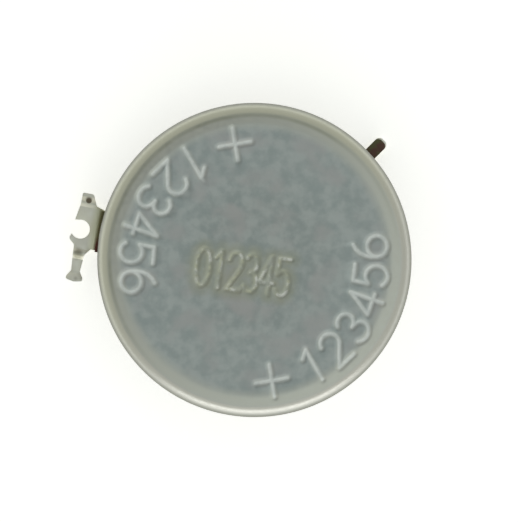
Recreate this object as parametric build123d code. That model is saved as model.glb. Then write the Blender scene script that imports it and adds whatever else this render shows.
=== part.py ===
from build123d import *
from math import cos, hypot, radians, sin, tan
import os

# A rechargeable watch cell: a crimped steel can over a stepped cap, with a bent
# hook lead welded to the cap. All sizes are in millimetres.
# Z is the axis of the cell, and up is towards its positive face. The origin lies
# on the axis, in the underside of the lead's weld pad, on which the cell rests.
# Plan angles are in degrees from +X, anticlockwise seen from above.

# Whole cell: the side wall, and the cap's contact face to the can's positive face
cell_diameter = 9.5
cell_height = 2.05

# Positive can
can_wall = 0.20
can_panel_inset = 0.62       # edge of the flat panel, in from the side wall
can_panel_fall = 0.045       # from the panel down to the crease
can_panel_fillet = 0.60
can_crease_inset = 0.31      # crease round the face, in from the side wall
can_crease_fillet = 0.04
can_corner_slope = 20.0      # how steeply the face leaves the crease, in degrees
can_corner_radius = 0.42     # rounded corner outside the crease
can_floor_radius = 0.22      # inside corner between floor and wall
crimp_radius = 0.50          # outside radius of the rolled mouth
crimp_reach = 0.85           # edge of the rolled mouth, in from the side wall
crimp_edge_radius = 0.05

# Negative cap
cap_wall = 0.20
cap_stand = 0.15             # the contact face stands this far clear of the rolled mouth
cap_face_radius = 0.25       # outside corner round the contact face
cap_waist_radius = 0.06      # outside corner where the boss meets the shoulder
cap_shoulder_radius = 0.26   # outside corner where the shoulder meets the skirt

# Gasket
gasket_outer_wall = 0.22     # between the cap's skirt and the can's wall
gasket_inner_wall = 0.15     # inside the cap's skirt
gasket_base = 0.20           # between the skirt's edge and the can's floor
gasket_shoulder = 0.20       # between the cap's shoulder and the rolled mouth
gasket_lip = 0.15            # ring that shows between the rolled mouth and the cap
gasket_lip_recess = 0.06     # that ring lies this far back from the rolled mouth
gasket_inner_height = 0.50   # how far the inner wall hangs from the can's floor

# Electrodes and separator
collector_thickness = 0.03
negative_pellet_stand = 0.10 # the pellet ends this far past the cap's shoulder
separator_thickness = 0.20
pellet_gap = 0.08            # round a pellet, inside what surrounds it
pellet_bevel = 0.06
separator_gap = 0.04

# Insulating film
film_thickness = 0.05
film_bore_gap = 0.05         # round the cap's boss
film_rim_inset = 0.36        # edge of the ring, in from the side wall
film_flap_margin = 0.03      # the turned-up flap is this much wider than the arm, each side
film_flap_shift = 0.02       # and sits this far off the arm's middle line
film_flap_out = 0.06         # end of the flap, past the side wall
film_tongue_bare = 0.05      # length of the tongue's tip that the film leaves bare

# Lead: one strip, stamped and bent
lead_thickness = 0.10
bend_radius = 0.20           # underside of a bend that turns up
ridge_bend_radius = 0.12
back_bend_radius = 0.05      # underside of a bend that turns down
pad_radius = 1.30
arm_root_fillet = 0.45       # plan fillet between an arm and the pad
root_tolerance = 0.001       # how near the pad's edge an upright edge lies to get that fillet
jog_start_inset = 0.12       # the arms start to rise this far inside the cap's boss
jog_end_outset = 0.10        # and are level again this far outside it
weld_spot_radius = 0.20
weld_spot_depth = 0.03
weld_spot_spacing = 0.90

# Tongue of the lead
tongue_angle = 45.0
tongue_shift = -0.21         # its middle line passes the axis at this distance
tongue_width = 0.39
tongue_out = 0.59            # tip of the tongue, past the side wall
tongue_tip_radius = 0.15

# Hook terminal of the lead. Names in _out are distances past the side wall, and
# names in _along are distances from the arm's middle line, positive to the tail.
hook_angle = 169.4
arm_width = 1.20
rise_height = 0.35           # the terminal lies this far above the arm
rise_start_out = -0.13
rise_end_out = 0.11
joint_out = 0.19             # where arm and crosspiece are one flat plate
plate_corner = 0.05
plate_edge_out = 0.82
plate_waist_out = 0.71
plate_waist_along = 0.54
notch_radius = 0.285         # round notch that hooks over a post
notch_out = 0.605
notch_along = 0.05
notch_mouth = 0.36
notch_lip_angle = 60.0       # where the lower lip leaves the round of the notch
lip_out = 0.905
lip_tip_along = 0.17
lip_bulge_along = 0.37
ear_root_out = 0.24
ear_root_along = -0.72
ear_tip_out = 0.56
ear_tip_along = -1.06
ear_tip_width = 0.34
tail_out = 0.52
tail_root_along = 0.80
tail_root_width = 0.35
tail_neck_along = 1.32
tail_neck_width = 0.27
foot_along = 1.50
foot_end_along = 1.65
foot_width = 0.50
ridge_along = 0.665          # foot of the ridge that is pressed across ear and tail
ridge_rise = 0.055
ridge_rise_length = 0.115
ridge_fall = 0.10
ridge_fall_length = 0.14
foot_bend_along = 1.40
foot_lift = 0.08
dimple_out = 0.51            # blind dimple in the ear
dimple_along = -0.85
dimple_radius = 0.09
dimple_depth = 0.05

# Heights
pad_top_z = lead_thickness
cap_face_z = pad_top_z
crimp_z = cap_face_z + cap_stand
crimp_inside_z = crimp_z + can_wall
cap_inside_z = cap_face_z + cap_wall
cap_shoulder_z = crimp_inside_z + gasket_shoulder
cap_shoulder_inside_z = cap_shoulder_z + cap_wall
positive_face_z = cap_face_z + cell_height
can_floor_z = positive_face_z - can_wall
skirt_edge_z = can_floor_z - gasket_base
separator_z = cap_shoulder_inside_z + negative_pellet_stand
film_z = crimp_z - film_thickness
arm_z = film_z - lead_thickness
hook_z = arm_z + rise_height

# Radii from the axis
can_radius = cell_diameter / 2
can_inside_radius = can_radius - can_wall
crimp_edge = can_radius - crimp_reach
boss_radius = crimp_edge - gasket_lip
boss_inside_radius = boss_radius - cap_wall
skirt_radius = can_inside_radius - gasket_outer_wall
skirt_inside_radius = skirt_radius - cap_wall
gasket_bore = skirt_inside_radius - gasket_inner_wall
positive_pellet_radius = gasket_bore - pellet_gap
negative_pellet_radius = boss_inside_radius - pellet_gap


def outline(corners, plane):
    """Flat face through (x, y, fillet radius) corners, drawn on a plane."""
    points = [(x, y) for x, y, _ in corners]
    fillets = [fillet_radius for _, _, fillet_radius in corners]
    with BuildSketch(plane) as sketch:
        with BuildLine():
            FilletPolyline(*points, radius=fillets, close=True)
        make_face()
    return sketch.sketch


def turned(corners):
    """Solid of revolution about the cell's axis, from (radius, height, fillet) corners."""
    return revolve(outline(corners, Plane.XZ), Axis.Z)


def layer(radius, low, high):
    """Thin round layer between two heights."""
    return turned([(0, low, 0), (radius, low, 0), (radius, high, 0), (0, high, 0)])


def pellet(radius, low, high):
    """Pressed disc between two heights, bevelled round both faces."""
    return turned([
        (0, low, 0),
        (radius - pellet_bevel, low, 0),
        (radius, low + pellet_bevel, 0),
        (radius, high - pellet_bevel, 0),
        (radius - pellet_bevel, high, 0),
        (0, high, 0),
    ])


def offset_path(path, distance):
    """A path moved to its left by a distance, with every fillet kept concentric."""
    directions = []
    for (x0, y0, _), (x1, y1, _) in zip(path, path[1:]):
        length = hypot(x1 - x0, y1 - y0)
        directions.append(((x1 - x0) / length, (y1 - y0) / length))
    moved = []
    for index, (x, y, fillet_radius) in enumerate(path):
        ax, ay = directions[max(index - 1, 0)]
        bx, by = directions[min(index, len(directions) - 1)]
        share = distance / (1 + ax * bx + ay * by)
        turn = ax * by - ay * bx
        inside = distance if turn > 0 else -distance
        radius = fillet_radius - inside if fillet_radius else 0
        moved.append((x - (ay + by) * share, y + (ax + bx) * share, radius))
    return moved


def bent_sheet(path, low, high, left, right):
    """Sheet that follows a path of (run, height, fillet) points, between two offsets of it.

    The sheet runs along +X and is as wide as left and right say, measured along +Y.
    """
    corners = offset_path(path, low) + offset_path(path, high)[::-1]
    return extrude(outline(corners, Plane.XZ.offset(-right)), right - left)


def prism(face):
    """Tall upright prism over a plan outline, to trim a bent sheet with."""
    return extrude(face, cell_height, both=True)


def positive_can():
    """Drawn cup, mouth down, with its mouth rolled in over the gasket."""
    crease_radius = can_radius - can_crease_inset
    crease_z = positive_face_z - can_panel_fall
    corner_z = crease_z - can_crease_inset * tan(radians(can_corner_slope))
    return turned([
        (0, positive_face_z, 0),
        (can_radius - can_panel_inset, positive_face_z, can_panel_fillet),
        (crease_radius, crease_z, can_crease_fillet),
        (can_radius, corner_z, can_corner_radius),
        (can_radius, crimp_z, crimp_radius),
        (crimp_edge, crimp_z, crimp_edge_radius),
        (crimp_edge, crimp_inside_z, 0),
        (can_inside_radius, crimp_inside_z, crimp_radius - can_wall),
        (can_inside_radius, can_floor_z, can_floor_radius),
        (0, can_floor_z, 0),
    ])


def gasket():
    """Ring with a groove for the cap's skirt, pressed to the shape of can and cap."""
    lip_z = crimp_z + gasket_lip_recess
    inner_end_z = can_floor_z - gasket_inner_height
    return turned([
        (boss_radius, lip_z, 0),
        (crimp_edge, lip_z, 0),
        (crimp_edge, crimp_inside_z, 0),
        (can_inside_radius, crimp_inside_z, crimp_radius - can_wall),
        (can_inside_radius, can_floor_z, can_floor_radius),
        (gasket_bore, can_floor_z, 0),
        (gasket_bore, inner_end_z, 0),
        (skirt_inside_radius, inner_end_z, 0),
        (skirt_inside_radius, skirt_edge_z, 0),
        (skirt_radius, skirt_edge_z, 0),
        (skirt_radius, cap_shoulder_z, cap_shoulder_radius),
        (boss_radius, cap_shoulder_z, cap_waist_radius),
    ])


def negative_cap():
    """Stepped cup, mouth up: contact face, boss, shoulder and skirt."""
    return turned([
        (0, cap_face_z, 0),
        (boss_radius, cap_face_z, cap_face_radius),
        (boss_radius, cap_shoulder_z, cap_waist_radius),
        (skirt_radius, cap_shoulder_z, cap_shoulder_radius),
        (skirt_radius, skirt_edge_z, 0),
        (skirt_inside_radius, skirt_edge_z, 0),
        (skirt_inside_radius, cap_shoulder_inside_z, cap_shoulder_radius - cap_wall),
        (boss_inside_radius, cap_shoulder_inside_z, cap_waist_radius + cap_wall),
        (boss_inside_radius, cap_inside_z, cap_face_radius - cap_wall),
        (0, cap_inside_z, 0),
    ])


def negative_collector():
    """Carbon layer between the cap and the negative pellet."""
    radius = negative_pellet_radius - pellet_bevel
    return layer(radius, cap_inside_z, cap_inside_z + collector_thickness)


def negative_pellet():
    """Pressed disc that fills the cap's boss and stands past its shoulder."""
    return pellet(negative_pellet_radius, cap_inside_z + collector_thickness, separator_z)


def separator():
    """Glass-fibre disc between the pellets."""
    radius = gasket_bore - separator_gap
    return layer(radius, separator_z, separator_z + separator_thickness)


def positive_pellet():
    """Pressed disc that takes up the height left between separator and can."""
    low = separator_z + separator_thickness
    return pellet(positive_pellet_radius, low, can_floor_z - collector_thickness)


def positive_collector():
    """Carbon layer between the positive pellet and the can's floor."""
    radius = positive_pellet_radius - pellet_bevel
    return layer(radius, can_floor_z - collector_thickness, can_floor_z)


def arm_path():
    """Underside of an arm from the pad outwards: level, a jog up over the cap's edge, level."""
    return [
        (0, 0, 0),
        (boss_radius - jog_start_inset, 0, bend_radius),
        (boss_radius + jog_end_outset, arm_z, bend_radius),
    ]


def hook_arm_path():
    """Underside of the hook's arm: as any arm, then up beside the can to the terminal."""
    return arm_path() + [
        (can_radius + rise_start_out, arm_z, bend_radius),
        (can_radius + rise_end_out, hook_z, back_bend_radius),
        (can_radius + joint_out, hook_z, 0),
    ]


def crosspiece_path():
    """Underside of the terminal from the ear's tip to the foot, with a ridge on each side."""
    crest_z = hook_z + ridge_rise
    low_z = crest_z - ridge_fall
    crest_along = ridge_along + ridge_rise_length
    fall_along = crest_along + ridge_fall_length
    return [
        (ear_tip_along - plate_corner, low_z, 0),
        (-fall_along, low_z, ridge_bend_radius),
        (-crest_along, crest_z, back_bend_radius),
        (-ridge_along, hook_z, ridge_bend_radius),
        (ridge_along, hook_z, ridge_bend_radius),
        (crest_along, crest_z, back_bend_radius),
        (fall_along, low_z, ridge_bend_radius),
        (foot_bend_along, low_z, ridge_bend_radius),
        (foot_end_along + plate_corner, low_z + foot_lift, 0),
    ]


def hook_outline():
    """Plan of arm and terminal, with X along the arm from the axis and Y towards the tail."""
    half_arm = arm_width / 2
    half_foot = foot_width / 2
    half_neck = tail_neck_width / 2
    half_root = tail_root_width / 2
    half_ear = ear_tip_width / 2
    plan = [
        (-can_radius, half_arm, 0),
        (joint_out, half_arm, plate_corner),
        (tail_out - half_root, tail_root_along, 3 * plate_corner),
        (tail_out - half_neck, tail_neck_along, plate_corner),
        (tail_out - half_foot, foot_along, plate_corner),
        (tail_out - half_foot, foot_end_along - plate_corner, plate_corner),
        (tail_out, foot_end_along, 2 * plate_corner),
        (tail_out + half_foot, foot_end_along - plate_corner, plate_corner),
        (tail_out + half_foot, foot_along, plate_corner),
        (tail_out + half_neck, tail_neck_along, plate_corner),
        (tail_out + half_root, tail_root_along, 2 * plate_corner),
        (plate_waist_out, plate_waist_along, plate_corner),
        (lip_out, lip_bulge_along, 2 * plate_corner),
        (plate_edge_out, lip_tip_along, plate_corner / 2),
        (plate_edge_out, lip_tip_along - notch_mouth, plate_corner / 2),
        (ear_tip_out + half_ear, ear_root_along, 2 * plate_corner),
        (ear_tip_out + half_ear, ear_tip_along, plate_corner),
        (ear_tip_out - half_ear, ear_tip_along, 2 * plate_corner),
        (ear_root_out, ear_root_along, 2 * plate_corner),
        (rise_start_out, -half_arm, plate_corner),
        (-can_radius, -half_arm, 0),
    ]
    blank = outline([(can_radius + out, along, corner) for out, along, corner in plan], Plane.XY)
    notch_x = can_radius + notch_out
    mouth_x = can_radius + lip_out + plate_corner
    lip_angle = radians(notch_lip_angle)
    lip_x = notch_x + notch_radius * cos(lip_angle)
    mouth = outline([
        (notch_x, notch_along - notch_radius, 0),
        (mouth_x, lip_tip_along - notch_mouth, 0),
        (mouth_x, lip_tip_along - plate_corner, 0),
        (lip_x, notch_along + notch_radius * sin(lip_angle), 0),
        (notch_x, notch_along, 0),
    ], Plane.XY)
    return blank - Pos(notch_x, notch_along) * Circle(notch_radius) - mouth


def hook_arm():
    """The hook's arm and terminal, before they are turned to their angle."""
    plan = hook_outline()
    joint_x = can_radius + joint_out
    arm = bent_sheet(hook_arm_path(), 0, lead_thickness, -arm_width, arm_width)
    arm &= prism(plan)
    cross = Rot(0, 0, 90) * bent_sheet(
        crosspiece_path(), 0, lead_thickness, -joint_x - cell_diameter, -joint_x
    )
    cross &= prism(plan)
    dimple = Pos(can_radius + dimple_out, dimple_along, hook_z + lead_thickness)
    pin = dimple * Cylinder(dimple_radius, 2 * dimple_depth)
    return arm + cross - pin


def tongue():
    """The narrow arm that ends in a rounded tip, before it is turned to its angle."""
    tip = can_radius + tongue_out
    half = tongue_width / 2
    path = arm_path() + [(tip, arm_z, 0)]
    plan = outline([
        (0, tongue_shift - half, 0),
        (tip, tongue_shift - half, tongue_tip_radius),
        (tip, tongue_shift + half, tongue_tip_radius),
        (0, tongue_shift + half, 0),
    ], Plane.XY)
    sheet = bent_sheet(path, 0, lead_thickness, tongue_shift - half, tongue_shift + half)
    return sheet & prism(plan)


def weld_spots():
    """Shallow round dents in the pad's underside, left by the welding tips."""
    ball_radius = (weld_spot_radius ** 2 + weld_spot_depth ** 2) / (2 * weld_spot_depth)
    ball = Sphere(ball_radius)
    places = GridLocations(weld_spot_spacing, weld_spot_spacing, 2, 2)
    return [Pos(0, 0, weld_spot_depth - ball_radius) * place * ball for place in places]


def negative_lead():
    """Pad, tongue and hook terminal in one piece."""
    pad = layer(pad_radius, 0, lead_thickness)
    lead = pad + Rot(0, 0, hook_angle) * hook_arm() + Rot(0, 0, tongue_angle) * tongue()
    root_edges = lead.edges().filter_by(Axis.Z).filter_by(
        lambda edge: abs(hypot(edge.center().X, edge.center().Y) - pad_radius) < root_tolerance
    )
    lead = fillet(root_edges, arm_root_fillet)
    for spot in weld_spots():
        lead -= Rot(0, 0, hook_angle) * spot
    return lead


def insulating_film():
    """Ring stuck on the rolled mouth, with a turned-up flap and a strip on the tongue."""
    bore = boss_radius + film_bore_gap
    rim = can_radius - film_rim_inset
    root = (bore + rim) / 2
    ring = layer(rim, film_z, crimp_z) - layer(bore, film_z, crimp_z)
    half_flap = arm_width / 2 + film_flap_margin
    flap_plan = outline([
        (root, film_flap_shift - half_flap, 0),
        (can_radius + film_flap_out, film_flap_shift - half_flap, 0),
        (can_radius + film_flap_out, film_flap_shift + half_flap, 0),
        (root, film_flap_shift + half_flap, 0),
    ], Plane.XY)
    film_top = lead_thickness + film_thickness
    flap = bent_sheet(hook_arm_path(), lead_thickness, film_top, -arm_width, arm_width)
    flap &= prism(flap_plan)
    half = tongue_width / 2
    tip = can_radius + tongue_out - film_tongue_bare
    strip_plan = outline([
        (root, tongue_shift - half, 0),
        (tip, tongue_shift - half, tongue_tip_radius),
        (tip, tongue_shift + half, tongue_tip_radius),
        (root, tongue_shift + half, 0),
    ], Plane.XY.offset(film_z))
    strip = extrude(strip_plan, film_thickness)
    return ring + Rot(0, 0, hook_angle) * flap + Rot(0, 0, tongue_angle) * strip


os.makedirs("parts", exist_ok=True)
for build in (
    positive_can,
    gasket,
    negative_cap,
    negative_collector,
    negative_pellet,
    separator,
    positive_pellet,
    positive_collector,
    insulating_film,
    negative_lead,
):
    export_step(build(), f"parts/{build.__name__}.step")
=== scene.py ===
"""Looks of a rechargeable watch cell with a welded hook lead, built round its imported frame."""
import logging
import math
from dataclasses import dataclass
from enum import Enum
from typing import Callable, Sequence

import bpy
import numpy as np
from mathutils import Matrix, Vector


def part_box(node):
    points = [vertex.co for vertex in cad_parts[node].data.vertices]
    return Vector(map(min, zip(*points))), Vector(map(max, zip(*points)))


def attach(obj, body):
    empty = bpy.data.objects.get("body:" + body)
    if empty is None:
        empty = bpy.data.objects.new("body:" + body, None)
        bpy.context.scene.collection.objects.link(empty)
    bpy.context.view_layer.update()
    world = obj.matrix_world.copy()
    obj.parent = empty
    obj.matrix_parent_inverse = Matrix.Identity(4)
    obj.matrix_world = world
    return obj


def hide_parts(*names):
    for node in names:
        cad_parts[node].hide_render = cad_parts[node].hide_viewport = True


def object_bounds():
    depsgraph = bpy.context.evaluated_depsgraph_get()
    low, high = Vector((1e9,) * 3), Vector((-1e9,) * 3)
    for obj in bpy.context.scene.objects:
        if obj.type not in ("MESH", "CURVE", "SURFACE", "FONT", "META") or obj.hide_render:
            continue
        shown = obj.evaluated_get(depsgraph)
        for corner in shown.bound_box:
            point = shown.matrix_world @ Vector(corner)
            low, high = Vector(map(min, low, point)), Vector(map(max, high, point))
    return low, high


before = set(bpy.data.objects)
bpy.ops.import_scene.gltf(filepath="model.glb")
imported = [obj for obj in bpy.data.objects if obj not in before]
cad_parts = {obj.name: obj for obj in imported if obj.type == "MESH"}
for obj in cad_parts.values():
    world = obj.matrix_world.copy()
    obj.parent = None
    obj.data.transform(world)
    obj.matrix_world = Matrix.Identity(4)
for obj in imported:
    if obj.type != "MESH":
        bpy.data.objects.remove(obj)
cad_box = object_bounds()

log = logging.getLogger("button_cell")

MM = 0.001                     # pieces are modelled in millimetres and scaled to metres at the end
BODY = "root"
MIX_FACTOR, MIX_LOW, MIX_HIGH, MIX_RESULT = 0, 6, 7, 2     # colour sockets of a Mix node
RANGE_LIMITS = slice(1, 5)     # From Min, From Max, To Min and To Max of a Map Range node

Colour = tuple[float, float, float]
Axes = tuple[float, float, float]       # one number for each of X, Y and Z
Point = tuple[float, float]             # place in plan
Span = tuple[float, float]              # where something starts and where it ends


class Slot(Enum):
    """Names of the record's material slots; new pieces are handed one, but nothing reads it."""

    CAN = "can_steel"
    LEAD = "lead_metal"


class Mark(Enum):
    """Point attributes that carry the stamped marks to the material."""

    STAMP = "stamp"
    CODE = "code"
    HAZE = "haze"


def deselect_all() -> None:
    """Leave object mode with nothing selected."""
    if bpy.context.object and bpy.context.object.mode != "OBJECT":
        bpy.ops.object.mode_set(mode="OBJECT")
    bpy.ops.object.select_all(action="DESELECT")


def select_only(piece: bpy.types.Object) -> None:
    """Select one object and make it the active one.

    Args:
        piece: The object that the next operator acts on.
    """
    deselect_all()
    piece.select_set(True)
    bpy.context.view_layer.objects.active = piece


def apply_modifier(piece: bpy.types.Object, kind: str, **settings: object) -> None:
    """Add a modifier to an object and apply it at once.

    Args:
        piece: The object to change.
        kind: Blender's name for the modifier type.
        **settings: Properties of the modifier.
    """
    select_only(piece)
    modifier = piece.modifiers.new(kind.lower(), kind)
    for name, value in settings.items():
        setattr(modifier, name, value)
    bpy.ops.object.modifier_apply(modifier=modifier.name)


def finish_piece(piece: bpy.types.Object, slot: Slot, smooth_degrees: float) -> None:
    """Smooth a finished piece, scale it to metres, and hang it on the cell's body.

    Args:
        piece: The piece, modelled in millimetres with its place in its mesh.
        slot: The record's slot that its finish belongs to; not used.
        smooth_degrees: Edges that turn by less than this are shaded smooth.
    """
    select_only(piece)
    piece.scale = (MM, MM, MM)
    bpy.ops.object.transform_apply(location=True, rotation=True, scale=True)
    bpy.ops.object.shade_smooth_by_angle(angle=math.radians(smooth_degrees))
    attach(piece, BODY)


def dress(piece: bpy.types.Object, material: bpy.types.Material) -> None:
    """Give a piece one material in place of all that it has.

    Args:
        piece: A new piece or a CAD node.
        material: The finish to show.
    """
    if piece.material_slots:
        for material_slot in piece.material_slots:
            material_slot.material = material
    else:
        piece.data.materials.append(material)


@dataclass(frozen=True)
class Corner:
    """Corner of a turned piece's section, in millimetres, and how the section goes on from it."""

    radius: float
    height: float
    fillet: float = 0.0
    steps: int = 1
    cuts: int = 0

    @property
    def place(self) -> Vector:
        """Place in the XZ plane."""
        return Vector((self.radius, 0.0, self.height))


@dataclass
class TurnedPiece:
    """A piece turned on a lathe: its section is drawn point by point, rounded, and swept round Z."""

    name: str
    corners: list[Corner]
    segments: int
    merge_mm: float = 0.0004

    def build(self) -> bpy.types.Object:
        """Draw the section, round its corners, divide its runs, and turn it.

        Returns:
            The closed piece, in millimetres, with outward normals.
        """
        piece = self.draw()
        for index, corner in enumerate(self.corners):
            if corner.fillet:
                self.round_corner(piece, index)
        for here, there in zip(self.corners, self.corners[1:]):
            if here.cuts:
                self.divide(piece, (here.place + there.place) / 2, here.cuts)
        apply_modifier(piece, "SCREW", steps=self.segments, render_steps=self.segments,
                       use_merge_vertices=True, merge_threshold=self.merge_mm)
        bpy.ops.object.mode_set(mode="EDIT")
        bpy.ops.mesh.select_all(action="SELECT")
        bpy.ops.mesh.remove_doubles(threshold=self.merge_mm)
        bpy.ops.mesh.normals_make_consistent(inside=False)
        bpy.ops.object.mode_set(mode="OBJECT")
        return piece

    def draw(self) -> bpy.types.Object:
        """Start from a small circle merged to a point, and extrude it from corner to corner.

        Returns:
            The section as a chain of edges.
        """
        deselect_all()
        start = self.corners[0].place
        bpy.ops.mesh.primitive_circle_add(vertices=3, radius=self.merge_mm, location=start)
        piece = bpy.context.object
        piece.name = piece.data.name = self.name
        bpy.ops.object.mode_set(mode="EDIT")
        bpy.ops.mesh.select_mode(type="VERT")
        bpy.ops.mesh.merge(type="CENTER")
        for here, there in zip(self.corners, self.corners[1:]):
            step = there.place - here.place
            bpy.ops.mesh.extrude_region_move(TRANSFORM_OT_translate={"value": step})
        bpy.ops.object.mode_set(mode="OBJECT")
        bpy.ops.object.transform_apply(location=True, rotation=True, scale=True)
        return piece

    def round_corner(self, piece: bpy.types.Object, index: int) -> None:
        """Bevel one corner of the section to its fillet.

        Args:
            piece: The section.
            index: The corner's number.
        """
        corner = self.corners[index]
        to_last = self.corners[index - 1].place - corner.place
        to_next = self.corners[index + 1].place - corner.place
        reach = corner.fillet / math.tan(to_last.angle(to_next) / 2)
        near = [(vertex.co - corner.place).length < self.merge_mm for vertex in piece.data.vertices]
        piece.data.edges.foreach_set("select", [False] * len(piece.data.edges))
        piece.data.vertices.foreach_set("select", near)
        bpy.ops.object.mode_set(mode="EDIT")
        bpy.ops.mesh.bevel(offset=reach, segments=corner.steps, affect="VERTICES")
        bpy.ops.object.mode_set(mode="OBJECT")

    @staticmethod
    def divide(piece: bpy.types.Object, middle: Vector, cuts: int) -> None:
        """Cut one run of the section into even steps.

        Args:
            piece: The section.
            middle: Middle of the run before its corners were rounded.
            cuts: How many points to add.
        """
        mesh = piece.data
        ends = [[mesh.vertices[end].co for end in edge.vertices] for edge in mesh.edges]
        gaps = [((first + last) / 2 - middle).length for first, last in ends]
        chosen = gaps.index(min(gaps))
        mesh.vertices.foreach_set("select", [False] * len(mesh.vertices))
        mesh.edges.foreach_set("select", [index == chosen for index in range(len(mesh.edges))])
        bpy.ops.object.mode_set(mode="EDIT")
        bpy.ops.mesh.select_mode(type="EDGE")
        bpy.ops.mesh.subdivide(number_cuts=cuts)
        bpy.ops.mesh.select_mode(type="VERT")
        bpy.ops.object.mode_set(mode="OBJECT")


@dataclass(frozen=True)
class Clouds:
    """Noise made into a mask: its grain, the noise values that it spans, and its weakest and strongest."""

    size_mm: float
    octaves: float
    span: Span
    strength: Span = (0.0, 1.0)
    stretch: Axes = (1.0, 1.0, 1.0)


class ShaderGraph:
    """A material with one principled shader, and short ways to add nodes before it."""

    def __init__(self, name: str) -> None:
        """Make the material.

        Args:
            name: The material's name.
        """
        self.material = bpy.data.materials.new(name)
        self.material.use_nodes = True
        self.tree = self.material.node_tree
        self.shader = self.tree.nodes["Principled BSDF"]
        coordinates = self.tree.nodes.new("ShaderNodeTexCoord")
        self.place = coordinates.outputs["Object"]

    def set(self, **values: object) -> None:
        """Set sockets of the shader to plain values.

        Args:
            **values: Socket names, with underscores for spaces, and their values.
        """
        for name, value in values.items():
            self.shader.inputs[name.replace("_", " ")].default_value = value

    def feed(self, socket: str, source: bpy.types.NodeSocket) -> None:
        """Link a socket of the shader to a node's output.

        Args:
            socket: The shader's socket.
            source: The output that drives it.
        """
        self.tree.links.new(source, self.shader.inputs[socket])

    def noise(self, size_mm: float, octaves: float = 2.0,
              stretch: Axes = (1.0, 1.0, 1.0)) -> bpy.types.NodeSocket:
        """Noise in object space.

        Args:
            size_mm: Size of its largest blotches.
            octaves: Number of finer octaves.
            stretch: Factors on the coordinates, larger for finer.

        Returns:
            The noise value, about 0 to 1.
        """
        mapping = self.tree.nodes.new("ShaderNodeMapping")
        mapping.inputs["Scale"].default_value = stretch
        self.tree.links.new(self.place, mapping.inputs["Vector"])
        noise = self.tree.nodes.new("ShaderNodeTexNoise")
        noise.inputs["Scale"].default_value = 1 / (size_mm * MM)
        noise.inputs["Detail"].default_value = octaves
        self.tree.links.new(mapping.outputs["Vector"], noise.inputs["Vector"])
        return noise.outputs["Fac"]

    def span(self, source: bpy.types.NodeSocket, low: float, high: float,
             to_low: float = 0.0, to_high: float = 1.0) -> bpy.types.NodeSocket:
        """Map a value from one range to another, clamped and eased.

        Args:
            source: The value.
            low: Input that gives to_low.
            high: Input that gives to_high.
            to_low: Lowest result.
            to_high: Highest result.

        Returns:
            The mapped value.
        """
        node = self.tree.nodes.new("ShaderNodeMapRange")
        node.interpolation_type = "SMOOTHSTEP"
        for socket, value in zip(node.inputs[RANGE_LIMITS], (low, high, to_low, to_high)):
            socket.default_value = value
        self.tree.links.new(source, node.inputs[0])
        return node.outputs[0]

    def cloudy(self, clouds: Clouds) -> bpy.types.NodeSocket:
        """Mask of soft blotches.

        Args:
            clouds: Their size, span and strength.

        Returns:
            The mask.
        """
        noise = self.noise(clouds.size_mm, clouds.octaves, clouds.stretch)
        return self.span(noise, *clouds.span, *clouds.strength)

    def maths(self, operation: str, first: bpy.types.NodeSocket,
              second: bpy.types.NodeSocket | float) -> bpy.types.NodeSocket:
        """Join two values by a sum, product or the like.

        Args:
            operation: Blender's name for it, such as MULTIPLY.
            first: A node's output.
            second: A node's output or a number.

        Returns:
            The result.
        """
        node = self.tree.nodes.new("ShaderNodeMath")
        node.operation = operation
        self.tree.links.new(first, node.inputs[0])
        if isinstance(second, (int, float)):
            node.inputs[1].default_value = second
        else:
            self.tree.links.new(second, node.inputs[1])
        return node.outputs[0]

    def blend(self, factor: bpy.types.NodeSocket, low: Colour | bpy.types.NodeSocket,
              high: Colour | bpy.types.NodeSocket) -> bpy.types.NodeSocket:
        """Mix two colours.

        Args:
            factor: 0 gives low and 1 gives high.
            low: A colour or a node's output.
            high: A colour or a node's output.

        Returns:
            The mixed colour.
        """
        node = self.tree.nodes.new("ShaderNodeMix")
        node.data_type = "RGBA"
        self.tree.links.new(factor, node.inputs[MIX_FACTOR])
        for socket, colour in ((node.inputs[MIX_LOW], low), (node.inputs[MIX_HIGH], high)):
            if isinstance(colour, tuple):
                socket.default_value = (*colour, 1.0)
            else:
                self.tree.links.new(colour, socket)
        return node.outputs[MIX_RESULT]

    def attribute(self, mark: Mark) -> bpy.types.NodeSocket:
        """Read a mark's attribute on the piece.

        Args:
            mark: The mark.

        Returns:
            Its value, 0 to 1.
        """
        node = self.tree.nodes.new("ShaderNodeAttribute")
        node.attribute_name = mark.value
        return node.outputs["Fac"]

    def radius(self) -> bpy.types.NodeSocket:
        """Distance from the cell's axis.

        Returns:
            The distance in metres.
        """
        flat = self.tree.nodes.new("ShaderNodeVectorMath")
        flat.operation = "MULTIPLY"
        flat.inputs[1].default_value = (1, 1, 0)
        self.tree.links.new(self.place, flat.inputs[0])
        length = self.tree.nodes.new("ShaderNodeVectorMath")
        length.operation = "LENGTH"
        self.tree.links.new(flat.outputs[0], length.inputs[0])
        return length.outputs["Value"]

    def plan(self) -> tuple[bpy.types.NodeSocket, bpy.types.NodeSocket]:
        """Place on the object, seen along the cell's axis.

        Returns:
            X and Y in metres.
        """
        split = self.tree.nodes.new("ShaderNodeSeparateXYZ")
        self.tree.links.new(self.place, split.inputs[0])
        return split.outputs["X"], split.outputs["Y"]

    def distance(self, spot: Axes) -> bpy.types.NodeSocket:
        """Distance from a spot, in metres.

        Args:
            spot: The spot's place in millimetres.

        Returns:
            The distance.
        """
        node = self.tree.nodes.new("ShaderNodeVectorMath")
        node.operation = "DISTANCE"
        node.inputs[1].default_value = Vector(spot) * MM
        self.tree.links.new(self.place, node.inputs[0])
        return node.outputs["Value"]

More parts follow.
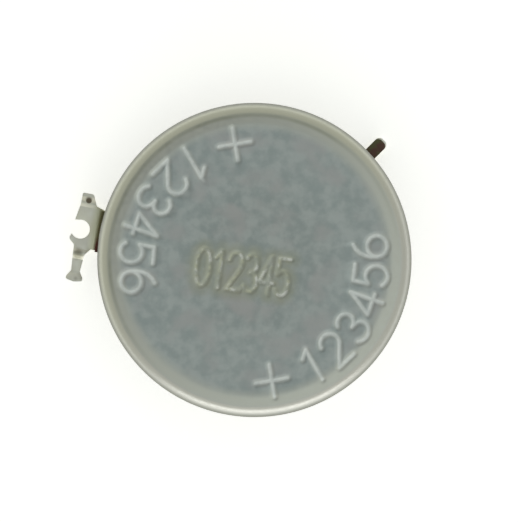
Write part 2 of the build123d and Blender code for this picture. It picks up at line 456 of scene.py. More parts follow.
    def relief(self, height: bpy.types.NodeSocket, depth_mm: float, strength: float = 1.0) -> None:
        """Feed the shader's normal with a bump.

        Args:
            height: Height, 0 to 1.
            depth_mm: What a height of 1 stands for.
            strength: How strongly it shows.
        """
        bump = self.tree.nodes.new("ShaderNodeBump")
        bump.inputs["Strength"].default_value = strength
        bump.inputs["Distance"].default_value = depth_mm * MM
        self.tree.links.new(height, bump.inputs["Height"])
        self.feed("Normal", bump.outputs["Normal"])


@dataclass(frozen=True)
class CanSteel:
    """Satin stainless steel of the can: mottled panel, warmer corner, pale stamped strokes."""

    panel_dark: Colour = (0.355, 0.397, 0.388)
    panel_light: Colour = (0.470, 0.503, 0.487)
    panel_warm: Colour = (0.462, 0.458, 0.448)
    panel_border: Colour = (0.520, 0.585, 0.590)
    slope: Colour = (0.570, 0.580, 0.525)
    # painted shade: dark olive band in the crease, put only on the north-west side, which faces away from
    # the light
    crease: Colour = (0.390, 0.395, 0.310)
    # more olive and a touch darker towards the north-west side; no stain is known there
    corner_north_west: Colour = (0.545, 0.555, 0.472)
    corner_clean: Colour = (0.552, 0.557, 0.522)
    # darker steel of the side wall; where it reaches onto the corner's outer edge it is also a painted dark
    # outline round the rim
    wall: Colour = (0.340, 0.345, 0.310)
    stroke: Colour = (0.900, 0.920, 0.890)
    code_tint: Colour = (0.600, 0.605, 0.455)
    # pale patches on the code strokes: partly worn polish, partly painted glints
    code_bright: Colour = (0.880, 0.880, 0.830)
    haze_tint: Colour = (0.405, 0.414, 0.318)
    edge_tint: Colour = (0.60, 0.60, 0.58)
    border_mm: Span = (1.4, 3.0)
    border_strength: float = 0.16
    slope_mm: Span = (3.85, 4.25)
    crease_shade_mm: Span = (4.27, 4.38)
    corner_mm: Span = (4.38, 4.45)
    wall_and_outline_mm: Span = (4.62, 4.73)
    # mask that rises towards the north-west side of the can; it is no stain, it places the painted crease
    # shade and the corner's olive tint
    north_west_mm: Span = (-2.5, 2.5)
    north_west_tilt: float = 0.55
    mottle: Clouds = Clouds(0.34, 2.0, (0.30, 0.70))
    warm_clouds: Clouds = Clouds(1.10, 3.0, (0.45, 0.68), (0.0, 0.85))
    crease_shade_patches: Clouds = Clouds(2.2, 2.0, (0.35, 0.62), (0.35, 0.75))
    draw_lines: Clouds = Clouds(0.16, 4.0, (0.30, 0.72), (0.0, 0.16), (1.0, 1.0, 0.06))
    scuffs: Clouds = Clouds(0.45, 5.0, (0.60, 0.78), (0.0, 0.14), (1.0, 1.0, 3.0))
    stroke_wear: Clouds = Clouds(0.28, 3.0, (0.35, 0.60), (0.72, 1.0))
    code_wear: Clouds = Clouds(0.30, 3.0, (0.42, 0.60), (0.15, 1.25))
    code_polish_and_glints: Clouds = Clouds(0.42, 3.0, (0.45, 0.58))
    roughness: Clouds = Clouds(0.12, 3.0, (0.30, 0.70), (0.33, 0.42))
    grain_mm: float = 0.035
    grain_octaves: float = 2.0
    grain_stretch: Axes = (1.0, 1.0, 0.07)
    grain_depth_mm: float = 0.0022
    grain_strength: float = 0.5

    def material(self) -> bpy.types.Material:
        """Build the node material.

        Returns:
            The material.
        """
        graph = ShaderGraph("can_steel")
        colour = self.marked(graph, self.bare(graph))
        graph.feed("Base Color", colour)
        graph.set(Metallic=1.0, Specular_Tint=(*self.edge_tint, 1.0))
        graph.feed("Roughness", graph.cloudy(self.roughness))
        grain = graph.noise(self.grain_mm, self.grain_octaves, self.grain_stretch)
        graph.relief(grain, self.grain_depth_mm, self.grain_strength)
        return graph.material

    def bare(self, graph: ShaderGraph) -> bpy.types.NodeSocket:
        """Colour of the can before it is stamped: panel, slope, crease with painted shade on its north-west
        side, corner, and wall with a painted dark outline at the corner's edge.

        Args:
            graph: The material's graph.

        Returns:
            The colour.
        """
        radius = graph.radius()
        panel = graph.blend(graph.cloudy(self.mottle), self.panel_dark, self.panel_light)
        panel = graph.blend(graph.cloudy(self.warm_clouds), panel, self.panel_warm)
        border = graph.maths("MULTIPLY", self.ring(graph, radius, self.border_mm), self.border_strength)
        panel = graph.blend(border, panel, self.panel_border)
        colour = graph.blend(self.ring(graph, radius, self.slope_mm), panel, self.slope)
        along_x, along_y = graph.plan()
        across = graph.maths("SUBTRACT", along_y, graph.maths("MULTIPLY", along_x, self.north_west_tilt))
        # stained here is the north-west side mask, not a stain: it limits the painted crease shade and the
        # corner's olive tint to that side
        stained = self.ring(graph, across, self.north_west_mm)
        # painted shade in the crease, in patches, on the north-west side only
        crease = graph.maths("MULTIPLY", self.ring(graph, radius, self.crease_shade_mm), stained)
        patches = graph.maths("MULTIPLY", crease, graph.cloudy(self.crease_shade_patches))
        colour = graph.blend(patches, colour, self.crease)
        # the corner turns more olive towards the north-west side
        corner = graph.blend(stained, self.corner_clean, self.corner_north_west)
        colour = graph.blend(self.ring(graph, radius, self.corner_mm), colour, corner)
        # the wall's darker tone, which seen from above is also a painted dark outline at the rim's edge
        at_wall = self.ring(graph, radius, self.wall_and_outline_mm)
        colour = graph.blend(at_wall, colour, self.wall)
        for clouds, tint in ((self.draw_lines, self.corner_clean), (self.scuffs, self.stroke)):
            colour = graph.blend(graph.maths("MULTIPLY", at_wall, graph.cloudy(clouds)), colour, tint)
        return colour

    def marked(self, graph: ShaderGraph, colour: bpy.types.NodeSocket) -> bpy.types.NodeSocket:
        """Add the stamped strokes, the worn code, and the haze round the code.

        Args:
            graph: The material's graph.
            colour: Colour of the bare can.

        Returns:
            The colour with the marks.
        """
        wear = graph.cloudy(self.stroke_wear)
        # code strokes brighter in noisy patches: partly worn polish, partly painted glints
        code = graph.blend(graph.cloudy(self.code_polish_and_glints), self.code_tint, self.code_bright)
        tints = ((Mark.HAZE, self.haze_tint, wear), (Mark.STAMP, self.stroke, wear),
                 (Mark.CODE, code, graph.cloudy(self.code_wear)))
        for mark, tint, share in tints:
            colour = graph.blend(graph.maths("MULTIPLY", graph.attribute(mark), share), colour, tint)
        return colour

    @staticmethod
    def ring(graph: ShaderGraph, length: bpy.types.NodeSocket, span_mm: Span) -> bpy.types.NodeSocket:
        """Mask that rises from 0 to 1 between two radii, or between two distances along a line.

        Args:
            graph: The material's graph.
            length: The radius or distance, in metres.
            span_mm: Where the mask starts and where it is full.

        Returns:
            The mask.
        """
        return graph.span(length, span_mm[0] * MM, span_mm[1] * MM)


@dataclass(frozen=True)
class CapSteel:
    """Drawn sheet steel of the cap: fine even grain and a slight warm stain."""

    clean: Colour = (0.62, 0.615, 0.585)
    stained: Colour = (0.585, 0.575, 0.530)
    stain: Clouds = Clouds(0.9, 3.0, (0.42, 0.66))
    roughness: Clouds = Clouds(0.05, 3.0, (0.30, 0.70), (0.30, 0.40))
    grain_depth_mm: float = 0.002
    grain_strength: float = 0.4

    def material(self) -> bpy.types.Material:
        """Build the node material.

        Returns:
            The material.
        """
        graph = ShaderGraph("cap_steel")
        graph.feed("Base Color", graph.blend(graph.cloudy(self.stain), self.clean, self.stained))
        graph.set(Metallic=1.0)
        graph.feed("Roughness", graph.cloudy(self.roughness))
        grain = graph.noise(self.roughness.size_mm, self.roughness.octaves)
        graph.relief(grain, self.grain_depth_mm, self.grain_strength)
        return graph.material


@dataclass(frozen=True)
class AmberFilm:
    """Dark amber insulating film: red-brown with olive patches, and painted light on the flap where it
    turns up into the shaded gap at the hook.
    """

    brown: Colour = (0.090, 0.040, 0.026)
    olive: Colour = (0.084, 0.084, 0.030)
    # painted light: the flap's olive and red are the film's own hues, made paler so that the flap looks lit
    # in its shaded gap
    flap_olive_painted_light: Colour = (0.200, 0.185, 0.095)
    flap_red_painted_light: Colour = (0.150, 0.050, 0.038)
    flap_from_mm: Span = (-3.0, -4.4)
    red_from_mm: Span = (0.75, 0.45)
    patches: Clouds = Clouds(0.35, 2.0, (0.42, 0.58))
    roughness: float = 0.42
    gloss: float = 0.35
    coat: float = 0.12
    coat_roughness: float = 0.2
    grain_mm: float = 0.08
    grain_depth_mm: float = 0.003
    grain_strength: float = 0.5

    def material(self) -> bpy.types.Material:
        """Build the node material.

        Returns:
            The material.
        """
        graph = ShaderGraph("amber_film")
        strip = graph.blend(graph.cloudy(self.patches), self.brown, self.olive)
        along_x, along_y = graph.plan()
        red = graph.span(along_y, self.red_from_mm[0] * MM, self.red_from_mm[1] * MM)
        # painted light on the flap: paler olive above, paler red at its lower end
        flap = graph.blend(red, self.flap_olive_painted_light, self.flap_red_painted_light)
        at_hook = graph.span(along_x, self.flap_from_mm[0] * MM, self.flap_from_mm[1] * MM)
        graph.feed("Base Color", graph.blend(at_hook, strip, flap))
        graph.set(Roughness=self.roughness, Specular_IOR_Level=self.gloss, Coat_Weight=self.coat,
                  Coat_Roughness=self.coat_roughness)
        graph.relief(graph.noise(self.grain_mm), self.grain_depth_mm, self.grain_strength)
        return graph.material


@dataclass(frozen=True)
class LeadMetal:
    """Plated strip: pale and slightly yellow, with rolling lines, painted shade in its pressed marks and on
    its ridge, and a yellowish painted shade on its root bend beside the can.
    """

    clean: Colour = (0.800, 0.794, 0.715)
    stained: Colour = (0.745, 0.737, 0.640)
    streak: Colour = (0.815, 0.812, 0.750)
    # painted shade: dark brown in the dimple, in the foot's bend and in the tail's dip
    mark_shade: Colour = (0.200, 0.165, 0.120)
    # painted shade: yellowish darkening on the strip's root bend, in a band beside the can's wall
    yellow: Colour = (0.660, 0.665, 0.440)
    heat_tint: Colour = (0.470, 0.400, 0.350)
    # painted shade: dims the bright band on the tail's ridge
    ridge_shade: Colour = (0.420, 0.425, 0.340)
    dimple: Axes = (-5.014, 1.800, 0.50)
    dimple_mm: Span = (0.145, 0.050)
    foot_mark: Axes = (-5.416, -0.548, 0.60)
    foot_mark_mm: Span = (0.11, 0.02)
    foot_mark_strength: float = 0.5
    ridge_mark: Axes = (-5.350, 0.155, 0.57)
    ridge_mark_mm: Span = (0.21, 0.08)
    ridge_mark_strength: float = 0.95
    dip_mark: Axes = (-5.330, 0.250, 0.52)
    dip_mark_mm: Span = (0.19, 0.03)
    dip_mark_strength: float = 0.45
    weld_pitch: float = 0.90
    weld_mm: Span = (0.34, 0.16)
    weld_strength: float = 0.45
    yellow_from_mm: Span = (5.16, 4.86)
    yellow_to_mm: Span = (4.60, 4.86)
    yellow_strength: float = 0.7
    stain: Clouds = Clouds(0.36, 4.0, (0.36, 0.68))
    streaks: Clouds = Clouds(0.40, 3.0, (0.46, 0.70), (0.0, 0.5), (1.0, 0.22, 1.0))
    roughness: Clouds = Clouds(0.05, 3.0, (0.30, 0.70), (0.40, 0.50), (3.0, 1.0, 1.0))
    grain_depth_mm: float = 0.002
    grain_strength: float = 0.4

    def material(self) -> bpy.types.Material:
        """Build the node material.

        Returns:
            The material.
        """
        graph = ShaderGraph("lead_metal")
        colour = graph.blend(graph.cloudy(self.stain), self.clean, self.stained)
        colour = graph.blend(graph.cloudy(self.streaks), colour, self.streak)
        # painted shade on the root bend: a yellowish band that peaks about 4.86 mm from the axis, beside
        # the can
        radius = graph.radius()
        start, end = (length * MM for length in self.yellow_from_mm)
        inner = graph.span(radius, start, end, 0.0, self.yellow_strength)
        start, end = (length * MM for length in self.yellow_to_mm)
        outer = graph.span(radius, start, end)
        colour = graph.blend(graph.maths("MULTIPLY", inner, outer), colour, self.yellow)
        for spot, sizes, strength, tint in self.spots():
            near = graph.span(graph.distance(spot), sizes[0] * MM, sizes[1] * MM, 0.0, strength)
            colour = graph.blend(near, colour, tint)
        graph.feed("Base Color", colour)
        graph.set(Metallic=1.0)
        graph.feed("Roughness", graph.cloudy(self.roughness))
        lines = graph.noise(self.roughness.size_mm, self.roughness.octaves, self.roughness.stretch)
        graph.relief(lines, self.grain_depth_mm, self.grain_strength)
        return graph.material

    def spots(self) -> list[tuple[Axes, Span, float, Colour]]:
        """Painted shade in the pressed marks and over the ridge's bright band, and heat tint round the four
        welds.

        Returns:
            Each spot's place, outer and inner radius, strength and tint.
        """
        half = self.weld_pitch / 2
        # painted shade in the dimple, the foot's bend and the tail's dip, and over the ridge's bright band
        marks = [(self.dimple, self.dimple_mm, 1.0, self.mark_shade),
                 (self.foot_mark, self.foot_mark_mm, self.foot_mark_strength, self.mark_shade),
                 (self.ridge_mark, self.ridge_mark_mm, self.ridge_mark_strength, self.ridge_shade),
                 (self.dip_mark, self.dip_mark_mm, self.dip_mark_strength, self.mark_shade)]
        welds = [((x, y, 0.0), self.weld_mm, self.weld_strength, self.heat_tint)
                 for x in (-half, half) for y in (-half, half)]
        return marks + welds


@dataclass(frozen=True)
class Granular:
    """Matt finish of the powders, fibres and plastic in the cell."""

    name: str
    dark: Colour
    light: Colour
    grain_mm: float
    rough: float = 0.85
    depth_mm: float = 0.006
    stretch: Axes = (1.0, 1.0, 1.0)
    tint_span: Span = (0.35, 0.65)
    grain_octaves: float = 4.0
    grain_strength: float = 0.6

    def material(self) -> bpy.types.Material:
        """Build the node material.

        Returns:
            The material.
        """
        graph = ShaderGraph(self.name)
        grain = graph.noise(self.grain_mm, self.grain_octaves, self.stretch)
        graph.feed("Base Color", graph.blend(graph.span(grain, *self.tint_span), self.dark, self.light))
        graph.set(Roughness=self.rough)
        graph.relief(grain, self.depth_mm, self.grain_strength)
        return graph.material


@dataclass(frozen=True)
class StrokeFont:
    """Single-line digits and signs in a box one unit tall, as a stamping punch makes them."""

    width: float = 0.62
    degrees_per_run: float = 15.0
    fewest_runs: int = 4

    def arc(self, centre: Point, radii: Point, start: float, end: float) -> list[Point]:
        """Points of an elliptic arc.

        Args:
            centre: Middle of the ellipse.
            radii: Half width and half height.
            start: First angle, in degrees from +X.
            end: Last angle.

        Returns:
            The points, in order.
        """
        count = max(self.fewest_runs, int(abs(end - start) / self.degrees_per_run))
        angles = [math.radians(start + (end - start) * step / count) for step in range(count + 1)]
        return [(centre[0] + radii[0] * math.cos(a), centre[1] + radii[1] * math.sin(a)) for a in angles]

    def strokes(self, sign: str) -> list[list[Point]]:
        """Lines of one glyph.

        Args:
            sign: A digit or a plus sign.

        Returns:
            Polylines in the unit box, with X from 0 to the font's width.
        """
        half = self.width / 2
        arc = self.arc
        glyphs: dict[str, list[list[Point]]] = {
            "0": [arc((half, 0.5), (half, 0.5), 0, 360)],
            "1": [[(0.14, 0.80), (0.36, 1.0), (0.36, 0.0)]],
            "2": [arc((half, 0.72), (half - 0.02, 0.28), 165, -35) + [(0.02, 0.0), (self.width, 0.0)]],
            "3": [arc((half, 0.76), (half - 0.05, 0.24), 150, -90),
                  arc((half, 0.26), (half, 0.26), 90, -150)],
            "4": [[(0.46, 0.0), (0.46, 1.0), (0.0, 0.30), (self.width, 0.30)]],
            "5": [[(self.width - 0.04, 1.0), (0.10, 1.0), (0.05, 0.56)]
                  + arc((half - 0.02, 0.33), (half, 0.33), 125, -145)],
            "6": [arc((half, 0.30), (half, 0.30), 0, 360),
                  arc((half + 0.24, 0.32), (half + 0.24, 0.68), 180, 100)],
            "+": [[(0.0, 0.5), (1.0, 0.5)], [(0.5, 0.0), (0.5, 1.0)]],
        }
        return glyphs[sign]


@dataclass
class StampLine:
    """One or more glyphs stamped in the panel, straight or round an arc.

    The defaults are those of the large numbers and plus signs. Depth and paint are shares of the full
    stamping depth and of the mark's full colour.
    """

    text: str
    place: Callable[[int], Matrix]
    height_mm: float
    stroke_mm: float = 0.112
    depth: float = 0.9
    mark: Mark = Mark.STAMP
    narrow: float = 1.0
    paint: float = 0.8

    def segments(self, font: StrokeFont) -> list[tuple[Vector, Vector]]:
        """Centre lines of all strokes, on the panel.

        Args:
            font: The glyphs to use.

        Returns:
            Straight pieces as (start, end), in millimetres.
        """
        pieces: list[tuple[Vector, Vector]] = []
        for index, sign in enumerate(self.text):
            middle = 0.5 if sign == "+" else font.width / 2
            place = self.place(index)
            for line in font.strokes(sign):
                points = [place @ Vector(((x - middle) * self.height_mm * self.narrow,
                                          (y - 0.5) * self.height_mm, 0)) for x, y in line]
                pieces.extend(zip(points, points[1:]))
        return pieces


def eased(value: np.ndarray) -> np.ndarray:
    """Clip values to 0..1 and ease both ends.

    Args:
        value: Any numbers.

    Returns:
        The eased numbers.
    """
    value = np.clip(value, 0, 1)
    return value * value * (3 - 2 * value)


def nearest_distance(points: np.ndarray, segments: Sequence[tuple[Vector, Vector]]) -> np.ndarray:
    """Distance of each point to the nearest of many straight segments.

    Args:
        points: Plan places, one row each.
        segments: (start, end) pairs.

    Returns:
        One distance a point.
    """
    best = np.full(len(points), np.inf)
    for start, end in segments:
        a = np.array(start[:2])
        run = np.array(end[:2]) - a
        share = np.clip(((points - a) @ run) / (run @ run), 0, 1)
        best = np.minimum(best, np.hypot(*(points - a - share[:, None] * run).T))
    return best


def on_arc(radius_mm: float, first_degrees: float, step_degrees: float,
           centre: Point) -> Callable[[int], Matrix]:
    """Placing rule for glyphs round an arc, with their tops towards the middle.

    Args:
        radius_mm: Radius of the glyphs' middles.
        first_degrees: Angle of the first glyph from +X, anticlockwise.
        step_degrees: Angle from one glyph to the next.
        centre: Middle of the arc.

    Returns:
        A function from a glyph's number to its place.
    """
    def place(index: int) -> Matrix:
        """Place one glyph.

        Args:
            index: The glyph's number.

        Returns:
            Its place on the panel.
        """
        angle = math.radians(first_degrees + index * step_degrees)
        spot = (centre[0] + radius_mm * math.cos(angle), centre[1] + radius_mm * math.sin(angle), 0)
        return Matrix.Translation(spot) @ Matrix.Rotation(angle + math.pi / 2, 4, "Z")
    return place


def on_line(start: Point, step_mm: float, slope_degrees: float) -> Callable[[int], Matrix]:
    """Placing rule for glyphs on a straight line.

    Args:
        start: Middle of the first glyph.
        step_mm: Distance from one glyph to the next.
        slope_degrees: Angle of the line from +X.

    Returns:
        A function from a glyph's number to its place.
    """
    def place(index: int) -> Matrix:
        """Place one glyph.

        Args:
            index: The glyph's number.

        Returns:
            Its place on the panel.
        """
        angle = math.radians(slope_degrees)
        along = index * step_mm
        spot = (start[0] + along * math.cos(angle), start[1] + along * math.sin(angle), 0)
        return Matrix.Translation(spot) @ Matrix.Rotation(angle, 4, "Z")
    return place


@dataclass
class PositiveCan:
    """The drawn cup: panel, outward fall, crease, rounded corner, wall and rolled mouth."""

    wall: float = 0.20
    panel_inset: float = 0.62
    panel_fall: float = 0.045
    panel_fillet: float = 0.60
    crease_inset: float = 0.31
    crease_fillet: float = 0.04
    corner_slope: float = 20.0
    corner_radius: float = 0.42
    floor_radius: float = 0.22
    crimp_radius: float = 0.50
    crimp_reach: float = 0.85
    crimp_edge_radius: float = 0.05
    panel_steps: int = 3
    crease_steps: int = 2
    corner_steps: int = 10
    crimp_steps: int = 12
    lip_steps: int = 4
    inner_steps: int = 5
    floor_steps: int = 4
    segments: int = 576
    code_zone: float = 2.02
    numbers_zone: float = 2.92
    zone_cuts: tuple[int, int, int, int] = (44, 4, 31, 6)
    stamp_centre: Point = (-0.012, -0.108)
    stamp_depth: float = 0.030
    least_weight: float = 0.002
    plus_places: tuple[Point, ...] = ((-0.58, 3.49), (0.53, -3.65))
    plus_tilt: float = 9.5
    plus_height: float = 0.98
    arc_text: str = "123456"
    arc_radius: float = 3.55
    arc_pitch: float = 13.6
    arc_height: float = 1.02
    arc_starts: tuple[float, ...] = (120.5, 299.9)
    code_text: str = "012345"
    code_start: Point = (-1.55, -0.21)
    code_pitch: float = 0.485
    code_slope: float = -7.5
    code_height: float = 1.12
    code_stroke: float = 0.085
    code_depth: float = 0.55
    code_narrow: float = 0.60
    code_paint: float = 0.62
    groove_reach: float = 1.25
    paint_reach: float = 1.30
    paint_width: float = 0.62
    haze_reach: float = 1.15
    haze_width: float = 0.36
    haze_strength: float = 0.75
    smooth_degrees: float = 40.0
    finish: CanSteel = CanSteel()

    def marks(self) -> list[StampLine]:
        """Plain numbers and plus signs that stand where such a cell is stamped.

        Returns:
            The lines to stamp.
        """
        tilt = Matrix.Rotation(math.radians(self.plus_tilt), 4, "Z")
        plus = [StampLine("+", lambda _, spot=spot: Matrix.Translation((*spot, 0)) @ tilt, self.plus_height)
                for spot in self.plus_places]
        arcs = [StampLine(self.arc_text, on_arc(self.arc_radius, start, self.arc_pitch, self.stamp_centre),
                          self.arc_height) for start in self.arc_starts]
        code = StampLine(self.code_text, on_line(self.code_start, self.code_pitch, self.code_slope),
                         self.code_height, self.code_stroke, self.code_depth, Mark.CODE,
                         self.code_narrow, self.code_paint)
        return [*plus, *arcs, code]

    def section(self, low: Vector, high: Vector) -> list[Corner]:
        """Section of the cup, from the middle of its face round to the middle of its floor.

        Args:
            low: Lowest corner of the CAD node's box, in millimetres.
            high: Highest corner.

        Returns:
            Its corners, with close steps where marks are stamped.
        """
        radius, face, rim = high.x, high.z, low.z
        inside, floor, lip = radius - self.wall, face - self.wall, radius - self.crimp_reach
        crease = face - self.panel_fall
        fall = self.crease_inset * math.tan(math.radians(self.corner_slope))
        code_cuts, between_cuts, number_cuts, slope_cuts = self.zone_cuts
        return [
            Corner(0.0, face, cuts=code_cuts),
            Corner(self.code_zone, face, cuts=between_cuts),
            Corner(self.numbers_zone, face, cuts=number_cuts),
            Corner(radius - self.panel_inset, face, self.panel_fillet, self.panel_steps, slope_cuts),
            Corner(radius - self.crease_inset, crease, self.crease_fillet, self.crease_steps),
            Corner(radius, crease - fall, self.corner_radius, self.corner_steps),
            Corner(radius, rim, self.crimp_radius, self.crimp_steps),
            Corner(lip, rim, self.crimp_edge_radius, self.lip_steps),
            Corner(lip, rim + self.wall),
            Corner(inside, rim + self.wall, self.crimp_radius - self.wall, self.inner_steps),
            Corner(inside, floor, self.floor_radius, self.floor_steps),
            Corner(0.0, floor),
        ]

    def stamp(self, piece: bpy.types.Object, face: float) -> None:
        """Press the marks into the panel and note them in the mesh for the material.

        Args:
            piece: The turned can, in millimetres.
            face: Height of the panel.
        """
        font = StrokeFont()
        mesh = piece.data
        places = np.empty(len(mesh.vertices) * 3)
        mesh.vertices.foreach_get("co", places)
        places = places.reshape(-1, 3)
        outside = places[:, 2] > face - 2 * self.panel_fall
        plan = places[:, :2]
        values = {mark: np.zeros(len(places)) for mark in Mark}
        depth = np.zeros(len(places))
        for line in self.marks():
            distance = nearest_distance(plan, line.segments(font))
            groove = eased(self.groove_reach - distance / line.stroke_mm) * outside
            paint = eased(self.paint_reach - distance / (line.stroke_mm * self.paint_width)) * outside
            values[line.mark] = np.maximum(values[line.mark], paint * line.paint)
            depth = np.maximum(depth, groove * line.depth)
            if line.mark is Mark.CODE:
                haze = eased(self.haze_reach - distance / self.haze_width) * outside * self.haze_strength
                values[Mark.HAZE] = np.maximum(values[Mark.HAZE], haze)
        group = piece.vertex_groups.new(name="stamp_depth")
        for index in np.nonzero(depth > self.least_weight)[0]:
            group.add([int(index)], float(depth[index]), "REPLACE")
        for mark, value in values.items():
            layer = mesh.attributes.new(mark.value, "FLOAT", "POINT")
            layer.data.foreach_set("value", value.astype(np.float32))
        apply_modifier(piece, "DISPLACE", direction="Z", mid_level=0.0, strength=-self.stamp_depth,
                       vertex_group=group.name)

    def build(self) -> bpy.types.Object:
        """Turn, stamp and dress the can.

        Returns:
            The can's piece.
        """
        low, high = (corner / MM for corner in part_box("positive_can"))
        piece = TurnedPiece("can_shell", self.section(low, high), self.segments).build()
        self.stamp(piece, high.z)
        dress(piece, self.finish.material())
        finish_piece(piece, Slot.CAN, self.smooth_degrees)
        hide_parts("positive_can")
        return piece


@dataclass
class Lead:
    """The stamped strip under the cell, with its hook terminal and its tongue."""

    edge_round: float = 0.012
    edge_steps: int = 2
    edge_degrees: float = 60.0
    merge_mm: float = 0.0005
    smooth_degrees: float = 50.0
    finish: LeadMetal = LeadMetal()

    def build(self) -> bpy.types.Object:
        """Take the strip's shape from its CAD node and round its sheared edges.

        Returns:
            The strip's piece.
        """
        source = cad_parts["negative_lead"]
        piece = bpy.data.objects.new("lead_strip", source.data.copy())
        bpy.context.scene.collection.objects.link(piece)
        select_only(piece)
        piece.scale = (1 / MM,) * 3
        bpy.ops.object.transform_apply(location=True, rotation=True, scale=True)
        bpy.ops.object.mode_set(mode="EDIT")
        bpy.ops.mesh.select_all(action="SELECT")
        bpy.ops.mesh.remove_doubles(threshold=self.merge_mm)
        bpy.ops.mesh.customdata_custom_splitnormals_clear()
        bpy.ops.object.mode_set(mode="OBJECT")
        apply_modifier(piece, "BEVEL", width=self.edge_round, segments=self.edge_steps,
                       limit_method="ANGLE", angle_limit=math.radians(self.edge_degrees))
        dress(piece, self.finish.material())
        finish_piece(piece, Slot.LEAD, self.smooth_degrees)
        apply_modifier(piece, "WEIGHTED_NORMAL", keep_sharp=True)
        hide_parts("negative_lead")
        return piece


@dataclass
class InnerPieces:
    """CAD nodes that keep their shape and only get a finish."""

    cap: CapSteel = CapSteel()
    film: AmberFilm = AmberFilm()
    seal: Granular = Granular("seal_plastic", (0.52, 0.50, 0.43), (0.60, 0.58, 0.50), grain_mm=0.2,
                              rough=0.5, depth_mm=0.002)
    carbon_dark: Colour = (0.012, 0.012, 0.013)
    carbon_light: Colour = (0.030, 0.030, 0.030)
    carbon_grain: float = 0.03
    negative_powder: Granular = Granular("negative_powder", (0.10, 0.11, 0.14), (0.16, 0.17, 0.20),
                                         grain_mm=0.05)
    positive_powder: Granular = Granular("positive_powder", (0.015, 0.014, 0.013),
                                         (0.035, 0.032, 0.030), grain_mm=0.05)
    fibre: Granular = Granular("glass_fibre", (0.72, 0.72, 0.70), (0.86, 0.86, 0.84), grain_mm=0.06,
                               rough=0.9, depth_mm=0.01, stretch=(6.0, 1.0, 1.0))

    def finishes(self) -> dict[str, CapSteel | AmberFilm | Granular]:
        """Finish of each node, by the node's name.

        Returns:
            The finishes.
        """
        carbon = (self.carbon_dark, self.carbon_light, self.carbon_grain)
        return {
            "negative_cap": self.cap,
            "gasket": self.seal,
            "insulating_film": self.film,
            "negative_collector": Granular("carbon_negative", *carbon),
            "positive_collector": Granular("carbon_positive", *carbon),
            "negative_pellet": self.negative_powder,
            "positive_pellet": self.positive_powder,
            "separator": self.fibre,
        }

    def build(self) -> list[bpy.types.Object]:
        """Dress each node.

        Returns:
            The dressed nodes.
        """
        pieces = []
        for name, finish in self.finishes().items():
            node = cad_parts[name]
            dress(node, finish.material())
            pieces.append(node)
        return pieces


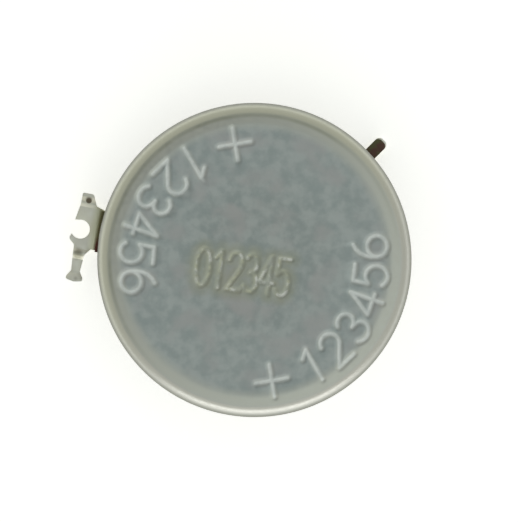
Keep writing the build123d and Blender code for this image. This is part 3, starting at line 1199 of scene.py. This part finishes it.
@dataclass
class Studio:
    """Pale floor, soft lamp, pale surroundings, and the camera straight above the cell.

    Lengths of the studio are in metres, unless a name says otherwise.
    """

    image_width: int = 518
    image_height: int = 522
    cell_width_px: float = 314.6
    cell_centre_px: Point = (254.4, 260.0)
    cell_width_mm: float = 9.5
    camera_height: float = 0.5
    camera_clip: Span = (0.01, 10.0)
    sensor_mm: float = 36.0
    floor_size: float = 1.6
    floor_gap: float = 0.00001
    floor_dark: Colour = (0.90, 0.90, 0.89)
    floor_light: Colour = (0.92, 0.92, 0.91)
    floor_grain_mm: float = 3.0
    floor_glow: float = 0.50
    floor_roughness: float = 0.9
    floor_gloss: float = 0.1
    lamp_place: Axes = (0.02, -0.34, 0.085)
    lamp_size: Span = (0.52, 0.15)
    lamp_power: float = 0.36
    lamp_colour: Colour = (1.0, 0.995, 0.985)
    sky_dark: Colour = (0.24, 0.255, 0.255)
    sky_bright: Colour = (0.78, 0.83, 0.81)
    horizon: Colour = (0.64, 0.64, 0.58)
    bright_side: Axes = (0.707, -0.707, 0.0)
    side_range: Span = (-0.50, 0.48)
    horizon_range: Span = (0.68, 0.95)

    def floor(self) -> None:
        """Plain pale floor just under the weld pad."""
        deselect_all()
        bpy.ops.mesh.primitive_plane_add(size=self.floor_size, location=(0, 0, -self.floor_gap))
        floor = bpy.context.object
        floor.name = "floor"
        graph = ShaderGraph("pale_floor")
        grain = graph.noise(self.floor_grain_mm)
        graph.feed("Base Color", graph.blend(grain, self.floor_dark, self.floor_light))
        graph.set(Roughness=self.floor_roughness, Specular_IOR_Level=self.floor_gloss)
        path = graph.tree.nodes.new("ShaderNodeLightPath")
        seen = graph.maths("MAXIMUM", path.outputs["Is Camera Ray"], path.outputs["Is Glossy Ray"])
        graph.shader.inputs["Emission Color"].default_value = (1, 1, 1, 1)
        graph.feed("Emission Strength", graph.maths("MULTIPLY", seen, self.floor_glow))
        dress(floor, graph.material)

    def surroundings(self) -> None:
        """World with a sky that darkens to one side, and a pale warm horizon."""
        world = bpy.data.worlds.new("surroundings")
        bpy.context.scene.world = world
        world.use_nodes = True
        tree = world.node_tree
        background = tree.nodes["Background"]
        coordinates = tree.nodes.new("ShaderNodeTexCoord")
        across = tree.nodes.new("ShaderNodeVectorMath")
        across.operation = "DOT_PRODUCT"
        across.inputs[1].default_value = self.bright_side
        split = tree.nodes.new("ShaderNodeSeparateXYZ")
        side, height = (tree.nodes.new("ShaderNodeMapRange") for _ in range(2))
        for node, limits in ((side, self.side_range), (height, self.horizon_range)):
            node.interpolation_type = "SMOOTHSTEP"
            for socket, limit in zip(node.inputs[RANGE_LIMITS], limits):
                socket.default_value = limit
        path = tree.nodes.new("ShaderNodeLightPath")
        sky, whole, seen = (tree.nodes.new("ShaderNodeMix") for _ in range(3))
        for mix in (sky, whole, seen):
            mix.data_type = "RGBA"
        sky.inputs[MIX_LOW].default_value = (*self.sky_dark, 1)
        sky.inputs[MIX_HIGH].default_value = (*self.sky_bright, 1)
        whole.inputs[MIX_LOW].default_value = (*self.horizon, 1)
        seen.inputs[MIX_HIGH].default_value = (1, 1, 1, 1)
        tree.links.new(coordinates.outputs["Generated"], across.inputs[0])
        tree.links.new(coordinates.outputs["Generated"], split.inputs[0])
        tree.links.new(across.outputs["Value"], side.inputs[0])
        tree.links.new(split.outputs["Z"], height.inputs[0])
        tree.links.new(side.outputs[0], sky.inputs[MIX_FACTOR])
        tree.links.new(height.outputs[0], whole.inputs[MIX_FACTOR])
        tree.links.new(sky.outputs[MIX_RESULT], whole.inputs[MIX_HIGH])
        tree.links.new(path.outputs["Is Camera Ray"], seen.inputs[MIX_FACTOR])
        tree.links.new(whole.outputs[MIX_RESULT], seen.inputs[MIX_LOW])
        tree.links.new(seen.outputs[MIX_RESULT], background.inputs["Color"])

    def lamp(self) -> None:
        """Soft rectangular lamp in front that faces the cell."""
        place = Vector(self.lamp_place)
        deselect_all()
        bpy.ops.object.light_add(type="AREA", location=place)
        lamp = bpy.context.object
        lamp.name = "front_softbox"
        lamp.rotation_euler = (-place).to_track_quat("-Z", "Y").to_euler()
        lamp.data.shape = "RECTANGLE"
        lamp.data.size, lamp.data.size_y = self.lamp_size
        lamp.data.energy = self.lamp_power
        lamp.data.color = self.lamp_colour
        lamp.visible_camera = False

    def camera(self) -> None:
        """Camera above the cell, framed as the photograph is."""
        px_mm = self.cell_width_px / self.cell_width_mm
        offset_x = (self.image_width / 2 - self.cell_centre_px[0]) / px_mm * MM
        offset_y = (self.cell_centre_px[1] - self.image_height / 2) / px_mm * MM
        deselect_all()
        bpy.ops.object.camera_add(location=(offset_x, offset_y, cad_box[1].z + self.camera_height))
        camera = bpy.context.object
        camera.data.sensor_fit = "HORIZONTAL"
        camera.data.sensor_width = self.sensor_mm
        field_width = self.image_width / px_mm * MM
        camera.data.lens = self.sensor_mm * self.camera_height / field_width
        camera.data.clip_start, camera.data.clip_end = self.camera_clip
        bpy.context.scene.camera = camera

    def build(self) -> None:
        """Set up floor, world, lamp, camera and view."""
        bpy.context.scene.view_settings.view_transform = "Standard"
        self.floor()
        self.surroundings()
        self.lamp()
        self.camera()


def main() -> None:
    """Build the studio and every piece, and report each."""
    logging.basicConfig(level=logging.INFO, format="%(name)s: %(message)s")
    Studio().build()
    pieces = [PositiveCan().build(), Lead().build(), *InnerPieces().build()]
    for piece in pieces:
        piece.data.calc_loop_triangles()
        log.info("%s has %d triangles", piece.name, len(piece.data.loop_triangles))


if __name__ == "__main__":
    main()
